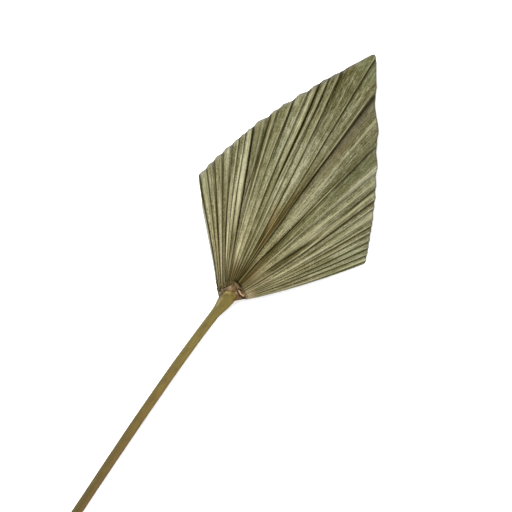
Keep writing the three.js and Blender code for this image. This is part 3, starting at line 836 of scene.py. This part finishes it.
def stalk_faces(rings):
    """Faces of the closed stalk: its side, its cut end, and strips across its nose."""
    n = STALK_POINTS
    faces = []
    for ring in range(rings - 1):
        for k in range(n):
            here, beside = ring * n + k, ring * n + (k + 1) % n
            faces.append((here, here + n, beside + n, beside))
    faces.append(tuple(range(n)))
    last = (rings - 1) * n
    for k in range(n // 2):
        strip = [k, k + 1, (n - k - 1) % n, (n - k) % n]
        kept = [corner + last for i, corner in enumerate(strip) if corner not in strip[:i]]
        if len(kept) > 2:
            faces.append(tuple(reversed(kept)))
    return faces


def make_stalk():
    shares = np.linspace(0, 1, STALK_STATIONS + 1)
    xs = CUT_END_X + (STALK_END_X - CUT_END_X) * shares ** STALK_STATION_POWER
    turns = 2 * math.pi * np.arange(STALK_POINTS) / STALK_POINTS
    cos, sin = np.cos(turns), np.sin(turns)
    across = np.sign(cos) * np.abs(cos) ** STALK_SQUARENESS
    up = np.sign(sin) * np.abs(sin) ** STALK_SQUARENESS
    points = np.concatenate([stalk_ring(x, turns, across, up) for x in xs])
    plan = points[:, 0], points[:, 1]
    spots = [bell(np.hypot(plan[0] - x, plan[1] - y), 0, size) for x, y, size in STALK_SPOTS]
    attributes = {
        "along": points[:, 0],
        "round": np.tile(turns, len(xs)),
        "top": np.tile(up, len(xs)),
        "side": np.tile(across, len(xs)),
        "reach": np.repeat(STALK_END_X - xs, STALK_POINTS),
        "spot": sum(spots),
        "lip": bell(line_distance(*plan, STALK_LIP_LINE), 0, STALK_LIP_HALF_WIDTH),
        "scar": bell(line_distance(*plan, STALK_SCAR_LINE), 0, STALK_SCAR_HALF_WIDTH),
    }
    return add_mesh("petiole_fine", to_row(points), stalk_faces(len(xs)), attributes)


# The hastula

def hastula_plan(place, share):
    """Point in plan, from the stalk's end at share 0 to the root of the folds at share 1."""
    degrees = HASTULA_RIGHT_DEG + (HASTULA_LEFT_DEG - HASTULA_RIGHT_DEG) * (1 + place) / 2
    angle = math.radians(degrees)
    flare_half = STALK_FLARE_WIDTH / 2
    bend = STALK_NOSE * STALK_NOSE_POWER * np.sign(place) * abs(place) ** (STALK_NOSE_POWER - 1)
    slope = (bend + STALK_END_SKEW) / flare_half
    inner = np.array([
        STALK_END_X + nose_reach(place) - STALK_END_SKEW * place - HASTULA_TUCK * math.hypot(1, slope),
        STALK_END_SHIFT + flare_half * place,
    ])
    reach = root_radius(angle)
    turned = angle * squeeze(angle, reach, outline_radius(angle))
    outer = (reach + HASTULA_ROOT_REACH) * np.array([math.cos(turned), math.sin(turned)])
    return inner + (outer - inner) * share


def line_mark(x, y, line, half_width):
    return bell(line_distance(x, y, line), 0, half_width)


def crumple_noise(layer, x, y, left):
    """The noise itself, and the height that it gives."""
    cells, seed, size, size_left = layer
    noise = smooth_noise(x * cells, y * cells, seed)
    return noise, (size + size_left * left) * noise


def hastula_point(place, share):
    """Place in plan and height on top, and how pale and how dark it is there, the dark being painted shade
    in the notch, lines and grooves, with dark grit.
    """
    x, y = hastula_plan(place, share)
    crest = line_mark(x, y, CREST_LINE, CREST_SIZE[0])
    curl = line_mark(x, y, CURL_LINE, CURL_SIZE[0])
    notch = line_mark(x, y, NOTCH_LINE, HASTULA_NOTCH_SIZE[0])
    lines = max(line_mark(x, y, line, DARK_LINE_SIZE[0]) for line in DARK_LINES)
    pink = max(bell(math.hypot(x - at_x, y - at_y), 0, size) for at_x, at_y, size in PINK_SPOTS)
    left = float(smoothstep(place, *CRUMPLED_END))
    _, crumples = crumple_noise(CRUMPLE, x, y, left)
    grit, grit_height = crumple_noise(GRIT, x, y, left)
    roots = float(smoothstep(share, *GROOVE_SHARES) * smoothstep(place, *GROOVE_PLACES))
    groove = math.cos(place * GROOVE_TURNS)
    height = HASTULA_HEIGHT + HASTULA_RISE * share - HASTULA_SIDE_FALL * place ** 2
    height += CREST_SIZE[1] * crest + CURL_SIZE[1] * curl + PINK_HEIGHT * pink
    height += crumples + grit_height + GROOVE_HEIGHT * roots * groove
    height -= HASTULA_NOTCH_SIZE[1] * notch + DARK_LINE_SIZE[1] * lines
    pale = curl + CREST_PALE * crest + PINK_PALE * pink + GRIT_TONE * left * max(-grit, 0)
    # Painted shade in the notch, the dark lines and the grooves' troughs, with dark grit specks towards
    # the left end
    dark = notch + LINE_DARK * lines + GRIT_TONE * left * max(grit, 0)
    dark += GROOVE_DARK * roots * max(-groove, 0)
    return x, y, height, min(pale, 1), min(dark, 1)


def make_hastula():
    places = np.linspace(-1, 1, HASTULA_PLACES)
    shares = np.linspace(0, 1, HASTULA_SHARES)
    points = np.array([[hastula_point(place, share) for share in shares] for place in places])
    place_grid, share_grid = np.meshgrid(places, shares, indexing="ij")
    top, bottom = points[..., :3].copy(), points[..., :3].copy()
    bottom[..., 2] = HASTULA_UNDERSIDE + HASTULA_UNDERSIDE_RISE * share_grid
    vertices = to_row(np.concatenate([top.reshape(-1, 3), bottom.reshape(-1, 3)]))
    known = {"place": place_grid, "share": share_grid, "pale": points[..., 3], "dark": points[..., 4]}
    attributes = {key: np.tile(values.ravel(), 2) for key, values in known.items()}
    faces = [tuple(reversed(face)) for face in sheet_faces(HASTULA_PLACES, HASTULA_SHARES)]
    return add_mesh("hastula_fine", vertices, faces, attributes)


# Materials

def linear(value):
    value /= 255
    return value / 12.92 if value <= 0.04045 else ((value + 0.055) / 1.055) ** 2.4


def srgb(red, green, blue, share=LEAF_SHARE):
    """Colour as it looks under the studio's light, as a share of the light it gives back."""
    return (linear(red) * share, linear(green) * share, linear(blue) * share, 1)


class Shader:
    """A material's node tree, with one short call for each kind of node."""

    def __init__(self, name, roughness, shine):
        self.material = bpy.data.materials.new(name)
        self.material.use_nodes = True
        self.nodes = self.material.node_tree.nodes
        self.links = self.material.node_tree.links
        self.bsdf = self.nodes["Principled BSDF"]
        self.bsdf.inputs["Roughness"].default_value = roughness
        self.bsdf.inputs["Specular IOR Level"].default_value = shine

    def set(self, socket, value):
        if isinstance(value, bpy.types.NodeSocket):
            self.links.new(value, socket)
        else:
            socket.default_value = value

    def node(self, kind, inputs):
        node = self.nodes.new(kind)
        for key, value in inputs.items():
            self.set(node.inputs[key], value)
        return node

    def attribute(self, name):
        node = self.node("ShaderNodeAttribute", {})
        node.attribute_name = name
        return node.outputs["Fac"]

    def place(self):
        return self.node("ShaderNodeTexCoord", {}).outputs["Object"]

    def math(self, operation, first, second, clamp=False):
        node = self.node("ShaderNodeMath", {0: first, 1: second})
        node.operation = operation
        node.use_clamp = clamp
        return node.outputs[0]

    def times(self, first, second, clamp=False):
        return self.math("MULTIPLY", first, second, clamp)

    def total(self, layers):
        result = layers[0]
        for layer in layers[1:]:
            result = self.math("ADD", result, layer)
        return result

    def vector(self, x, y, z=0.0):
        return self.node("ShaderNodeCombineXYZ", {"X": x, "Y": y, "Z": z}).outputs[0]

    def noise(self, vector, scale, detail=3.0, roughness=0.55):
        inputs = {"Vector": vector, "Scale": scale, "Detail": detail, "Roughness": roughness}
        return self.node("ShaderNodeTexNoise", inputs).outputs["Fac"]

    def span(self, value, low, high, to_low=0.0, to_high=1.0):
        inputs = {"Value": value, "From Min": low, "From Max": high, "To Min": to_low, "To Max": to_high}
        return self.node("ShaderNodeMapRange", inputs).outputs["Result"]

    def ramp(self, value, stops):
        node = self.node("ShaderNodeValToRGB", {"Fac": value})
        elements = node.color_ramp.elements
        while len(elements) < len(stops):
            elements.new(1)
        for element, (position, colour) in zip(elements, stops):
            element.position = position
            element.color = colour
        return node.outputs["Color"]

    def mix(self, share, first, second, blend="MIX"):
        node = self.nodes.new("ShaderNodeMix")
        node.data_type = "RGBA"
        node.blend_type = blend
        for index, value in ((0, share), (6, first), (7, second)):
            self.set(node.inputs[index], value)
        return node.outputs[2]

    def paint(self, colour, mask, strength, red, green, blue):
        """Lays one more colour over the others where a mask is high."""
        return self.mix(self.times(mask, strength, True), colour, srgb(red, green, blue))

    def bump(self, height, strength, distance, normal=None):
        inputs = {"Height": height, "Strength": strength, "Distance": distance}
        if normal is not None:
            inputs["Normal"] = normal
        return self.node("ShaderNodeBump", inputs).outputs["Normal"]

    def finish(self, colour, normal=None):
        self.set(self.bsdf.inputs["Base Color"], colour)
        if normal is not None:
            self.set(self.bsdf.inputs["Normal"], normal)
        return self.material


class LeafShader(Shader):
    """The blade's material, which knows where on the fan each point is."""

    def __init__(self):
        super().__init__("dry_leaf", 0.9, 0.0)
        self.along = self.attribute("along")
        self.angle = self.attribute("angle")
        self.fine = self.streaks(5.5, 0.03, 0.0, 4, 0.65)
        self.thread = self.streaks(11, 0.05, 5.0, 2)
        self.grain = self.noise(self.place(), 850, 4, 0.75)

    def streaks(self, across, lengthwise, seed, detail=3.0, roughness=0.55):
        """Noise drawn out along the folds: cells to a degree and to a millimetre."""
        place = self.vector(self.times(self.angle, across), self.times(self.along, lengthwise), seed)
        return self.noise(place, 1, detail, roughness)


def leaf_ground(leaf):
    """The grey-green of the sheet with its streaks, grain and uneven tones, and painted light and shade by
    panel and in patches.
    """
    blotch = leaf.noise(leaf.place(), 120, 3, 0.6)
    grit = leaf.span(leaf.grain, 0.27, 0.6, -0.28, 0.115)
    level = leaf.total([
        leaf.times(leaf.fine, 0.58),
        leaf.times(leaf.streaks(0.9, 0.014, 7.0), 0.4),
        leaf.times(leaf.attribute("tone"), 0.07),
        # Painted light and shade by panel: the panel towards the key light a little darker, the other a
        # little lighter
        leaf.times(leaf.attribute("painted_panel_light"), -0.02),
        # Lighter and darker patches: partly uneven tone, partly painted light and shade
        leaf.times(leaf.attribute("light"), 0.2),
        leaf.times(grit, leaf.span(leaf.along, 60, 110, 1.5, 1)),
        leaf.span(leaf.streaks(4.6, 0.11, 83.0, 3), 0.27, 0.6, -0.245, 0.11),
        leaf.span(blotch, 0.3, 0.7, -0.04, 0.04),
        leaf.span(leaf.thread, 0.35, 0.65, -0.09, 0.07),
        leaf.span(leaf.streaks(2.1, 0.012, 61.0), 0.35, 0.65, -0.1, 0.1),
    ])
    colour = leaf.ramp(level, [
        (0.14, srgb(53, 47, 12)),
        (0.4, srgb(100, 96, 63)),
        (0.55, srgb(124, 120, 90)),
        (0.85, srgb(177, 173, 139)),
    ])
    tint = leaf.mix(leaf.span(leaf.along, 50, 150), (1.04, 0.99, 0.92, 1), (0.96, 1.0, 1.08, 1))
    return leaf.mix(1.0, colour, tint, "MULTIPLY")


def leaf_hues(leaf, colour):
    """Green, grey, brown, rust and tan over the ground."""
    greenish = leaf.span(leaf.streaks(0.4, 0.008, 21.0), 0.5, 0.75, 0, 0.4)
    green = leaf.math("MAXIMUM", leaf.attribute("green"), greenish)
    colour = leaf.paint(colour, green, 0.55, 88, 98, 66)
    greyish = leaf.span(leaf.streaks(0.5, 0.01, 33.0), 0.5, 0.75, 0, 0.4)
    grey = leaf.math("MAXIMUM", leaf.attribute("grey"), greyish)
    colour = leaf.paint(colour, grey, 0.5, 112, 103, 90)
    brown = leaf.span(leaf.streaks(1.2, 0.009, 71.0), 0.52, 0.7, 0, 0.4)
    colour = leaf.paint(colour, brown, 1, 122, 106, 70)
    hub = leaf.times(leaf.attribute("hub"), leaf.span(leaf.fine, 0.35, 0.65, 1.3, 0.8))
    colour = leaf.paint(colour, hub, 1, 62, 52, 20)
    rust = leaf.times(leaf.attribute("rust"), leaf.span(leaf.streaks(3, 0.045, 13.0, 4), 0.4, 0.6, 0.2, 1))
    colour = leaf.paint(colour, rust, 0.8, 124, 95, 56)
    tan = leaf.times(leaf.attribute("tan"), leaf.span(leaf.streaks(2.2, 0.03, 27.0), 0.4, 0.6, 0.35, 1))
    return leaf.paint(colour, tan, 0.9, 178, 158, 120)


def leaf_lines(leaf, colour):
    """Painted highlights on the ridges and ribs, painted shade in the valleys, creases and the root's
    notch, specks, and the colours at the edges.
    """
    # Painted highlight along the ridges
    pale = leaf.span(leaf.streaks(1.1, 0.02, 17.0), 0.4, 0.62, 0.15, 0.8)
    pale = leaf.times(leaf.attribute("ridge"), pale, True)
    pale = leaf.times(pale, leaf.span(leaf.attribute("hub"), 0, 1, 1, 0.45))
    colour = leaf.paint(colour, pale, 1, 170, 166, 130)
    # Painted shade: a dark line and a soft shade along the valleys, dark along every valley near the hub
    valley = leaf.attribute("valley")
    shade = leaf.times(valley, leaf.span(leaf.streaks(0.7, 0.018, 41.0), 0.35, 0.65, 0.75, 1))
    valley_shade_colour = leaf.ramp(valley, [(0.35, srgb(70, 60, 10)), (1, srgb(28, 21, 1))])
    colour = leaf.mix(shade, colour, valley_shade_colour)
    # Painted shade in the creases
    colour = leaf.paint(colour, leaf.attribute("crease"), 0.95, 46, 39, 9)
    # Painted highlight along the small ribs
    bright = leaf.times(leaf.attribute("rib"), leaf.span(leaf.fine, 0.35, 0.65, 0.6, 1))
    colour = leaf.paint(colour, bright, 0.8, 184, 180, 144)
    specks = leaf.noise(leaf.place(), 420, 2, 0.5)
    colour = leaf.paint(colour, leaf.span(specks, 0.7, 0.76, 0, 0.6), 1, 60, 50, 28)
    colour = leaf.paint(colour, leaf.attribute("strip"), 0.9, 172, 170, 158)
    # Grey rim inside the cut edge: partly its own darker colour, partly painted shade on the facets by the
    # edge
    rim = leaf.mix(leaf.span(leaf.angle, 8, 15), srgb(100, 97, 88), srgb(122, 119, 108))
    colour = leaf.mix(leaf.times(leaf.attribute("rim"), 0.75), colour, rim)
    # Painted shade in the notch at the blade's root
    return leaf.paint(colour, leaf.attribute("notch"), 0.95, 30, 20, 6)


def blade_material():
    leaf = LeafShader()
    colour = leaf_lines(leaf, leaf_hues(leaf, leaf_ground(leaf)))
    normal = leaf.bump(leaf.math("ADD", leaf.fine, leaf.thread), 0.5, 0.0003)
    normal = leaf.bump(leaf.grain, 0.35, 0.0002, normal)
    return leaf.finish(colour, normal)


def stalk_material():
    stalk = Shader("dry_stalk", 0.6, 0.1)
    along, turn, side = stalk.attribute("along"), stalk.attribute("round"), stalk.attribute("side")
    colour = stalk.ramp(stalk.span(along, -240, 15), [
        (0.0, srgb(78, 65, 31)),
        (0.3, srgb(95, 77, 37)),
        (0.55, srgb(112, 91, 43)),
        (0.8, srgb(118, 103, 51)),
        (1.0, srgb(106, 93, 42)),
    ])
    mottle = stalk.noise(stalk.vector(stalk.times(along, 0.1), turn, 0.0), 1, 4, 0.65)
    fibre = stalk.noise(stalk.vector(stalk.times(along, 0.05), stalk.times(turn, 7), 5.0), 1, 3)
    reddish = stalk.times(stalk.span(side, 0.2, 1), stalk.span(along, -60, -170))
    # Painted highlight along the bevel of the stalk's upper edge, on the side towards the key light
    bevel_highlight = stalk.times(stalk.span(side, -0.55, -0.85), stalk.span(along, -90, -20))
    coats = [
        (stalk.span(side, 0.1, 0.9), 0.5, 138, 122, 62),
        (stalk.span(side, -0.1, -0.7), 0.7, 78, 70, 36),
        (stalk.span(mottle, 0.5, 0.66), 0.6, 88, 74, 42),
        (stalk.span(mottle, 0.46, 0.3), 0.5, 112, 110, 56),
        (stalk.span(fibre, 0.35, 0.65), 0.35, 84, 74, 42),
        (reddish, 0.5, 112, 72, 46),
        (bevel_highlight, 0.25, 140, 134, 90),
        (stalk.span(stalk.attribute("reach"), 1.4, 0.2), 0.7, 104, 78, 40),
        (stalk.attribute("lip"), 0.7, 152, 132, 80),
        (stalk.attribute("scar"), 0.6, 142, 122, 88),
        (stalk.attribute("spot"), 0.8, 88, 60, 22),
    ]
    for coat in coats:
        colour = stalk.paint(colour, *coat)
    normal = stalk.bump(fibre, 0.4, 0.0003)
    normal = stalk.bump(stalk.noise(stalk.place(), 900, 3), 0.2, 0.0002, normal)
    return stalk.finish(colour, normal)


def hastula_material():
    hastula = Shader("dry_hastula", 0.8, 0.08)
    place, share = hastula.attribute("place"), hastula.attribute("share")
    grain = hastula.noise(hastula.place(), 700, 4, 0.65)
    lumps = hastula.noise(hastula.place(), 260, 4, 0.6)
    colour = hastula.ramp(hastula.span(place, -1, 1), [
        (0.0, srgb(98, 74, 46)),
        (0.35, srgb(108, 84, 52)),
        (0.62, srgb(112, 92, 62)),
        (0.85, srgb(104, 94, 68)),
        (1.0, srgb(134, 128, 106)),
    ])
    colour = hastula.paint(colour, hastula.span(lumps, 0.42, 0.62), 0.8, 66, 54, 30)
    ray = hastula.noise(hastula.vector(hastula.times(place, 22), hastula.times(share, 1.2)), 1, 3, 0.6)
    roots = hastula.times(hastula.span(share, *GROOVE_SHARES), hastula.span(place, *GROOVE_PLACES))
    root_colour = hastula.mix(hastula.span(ray, 0.4, 0.6), srgb(104, 96, 54), srgb(62, 54, 22))
    colour = hastula.mix(hastula.times(roots, 0.85, True), colour, root_colour)
    coats = [
        (hastula.times(hastula.span(ray, 0.44, 0.58), hastula.span(share, 0.35, 0.9)), 0.7, 50, 42, 20),
        (hastula.span(share, 0.14, 0.02), 0.8, 62, 44, 22),
        (hastula.attribute("pale"), 0.9, 206, 176, 140),
        (hastula.span(grain, 0.56, 0.72), 0.6, 58, 44, 24),
        # Painted shade in the notch, lines and grooves, and the dark grit
        (hastula.attribute("dark"), 0.92, 26, 18, 8),
    ]
    for coat in coats:
        colour = hastula.paint(colour, *coat)
    return hastula.finish(colour, hastula.bump(grain, 0.5, 0.0004))


def floor_material():
    floor = Shader("pale_floor", 0.9, 0.3)
    grain = floor.noise(floor.place(), 60, 2)
    colour = floor.mix(floor.span(grain, 0.3, 0.7), srgb(246, 246, 246, 1), srgb(250, 250, 250, 1))
    return floor.finish(colour)


# Studio

# Lengths are in metres here, but the photo's centre, the lens and its sensor are in millimetres
PHOTO_TURN_DEG = 57.0      # from the photo's right to the leaf's +X
PHOTO_CENTRE = (54.6, -1.9)
PHOTO_WIDTH = 0.458        # metres across the view at the blade's usual height
BLADE_HEIGHT = 0.007
LENS = 85.0
SENSOR_WIDTH = 36.0
FLOOR_REACH = 6.0
WORLD_STRENGTH = 1.6
KEY_DIRECTION = (0.21, 0.98, 1.05)
KEY_DISTANCE = 2.2
KEY_SIZE = 1.5
KEY_POWER = 86


def make_camera():
    data = bpy.data.cameras.new("camera")
    data.lens = LENS
    data.sensor_width = SENSOR_WIDTH
    camera = bpy.data.objects.new("camera", data)
    bpy.context.scene.collection.objects.link(camera)
    x, y, _ = to_row(np.array([*PHOTO_CENTRE, 0.0]))
    camera.location = (x, y, PHOTO_WIDTH * LENS / SENSOR_WIDTH + BLADE_HEIGHT)
    camera.rotation_euler = (0, 0, -math.radians(PHOTO_TURN_DEG))
    bpy.context.scene.camera = camera


def make_floor():
    corners = [(x * FLOOR_REACH, y * FLOOR_REACH, 0) for x, y in ((-1, -1), (1, -1), (1, 1), (-1, 1))]
    floor = add_mesh("floor", corners, [(0, 1, 2, 3)])
    floor.data.materials.append(floor_material())


def make_key_light():
    data = bpy.data.lights.new("key", "AREA")
    data.size = KEY_SIZE
    data.energy = KEY_POWER
    light = bpy.data.objects.new("key", data)
    towards = Vector(KEY_DIRECTION).normalized()
    light.location = towards * KEY_DISTANCE
    light.rotation_mode = "QUATERNION"
    light.rotation_quaternion = towards.to_track_quat("Z", "Y")
    bpy.context.scene.collection.objects.link(light)


def make_world():
    world = bpy.data.worlds.new("studio")
    world.use_nodes = True
    background = world.node_tree.nodes["Background"]
    background.inputs["Color"].default_value = (1, 1, 1, 1)
    background.inputs["Strength"].default_value = WORLD_STRENGTH
    bpy.context.scene.world = world
    bpy.context.scene.view_settings.view_transform = "Standard"


# Put together

margin_radius = outline_radius(math.radians(LEFT_MARGIN_DEG))
margin_angle = math.radians(LEFT_MARGIN_DEG + LEFT_STRIP_DEG)
SHIFT_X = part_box("petiole")[0].x * 1000 - CUT_END_X
SHIFT_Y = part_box("blade")[1].y * 1000 - margin_radius * math.sin(margin_angle)

make_camera()
make_world()
make_key_light()
make_floor()

PIECES = (
    ("blade", make_blade, blade_material),
    ("petiole", make_stalk, stalk_material),
    ("hastula", make_hastula, hastula_material),
)
for node, make_piece, make_material in PIECES:
    piece = make_piece()
    piece.data.materials.append(make_material())
    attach(piece, "root")
    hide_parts(node)
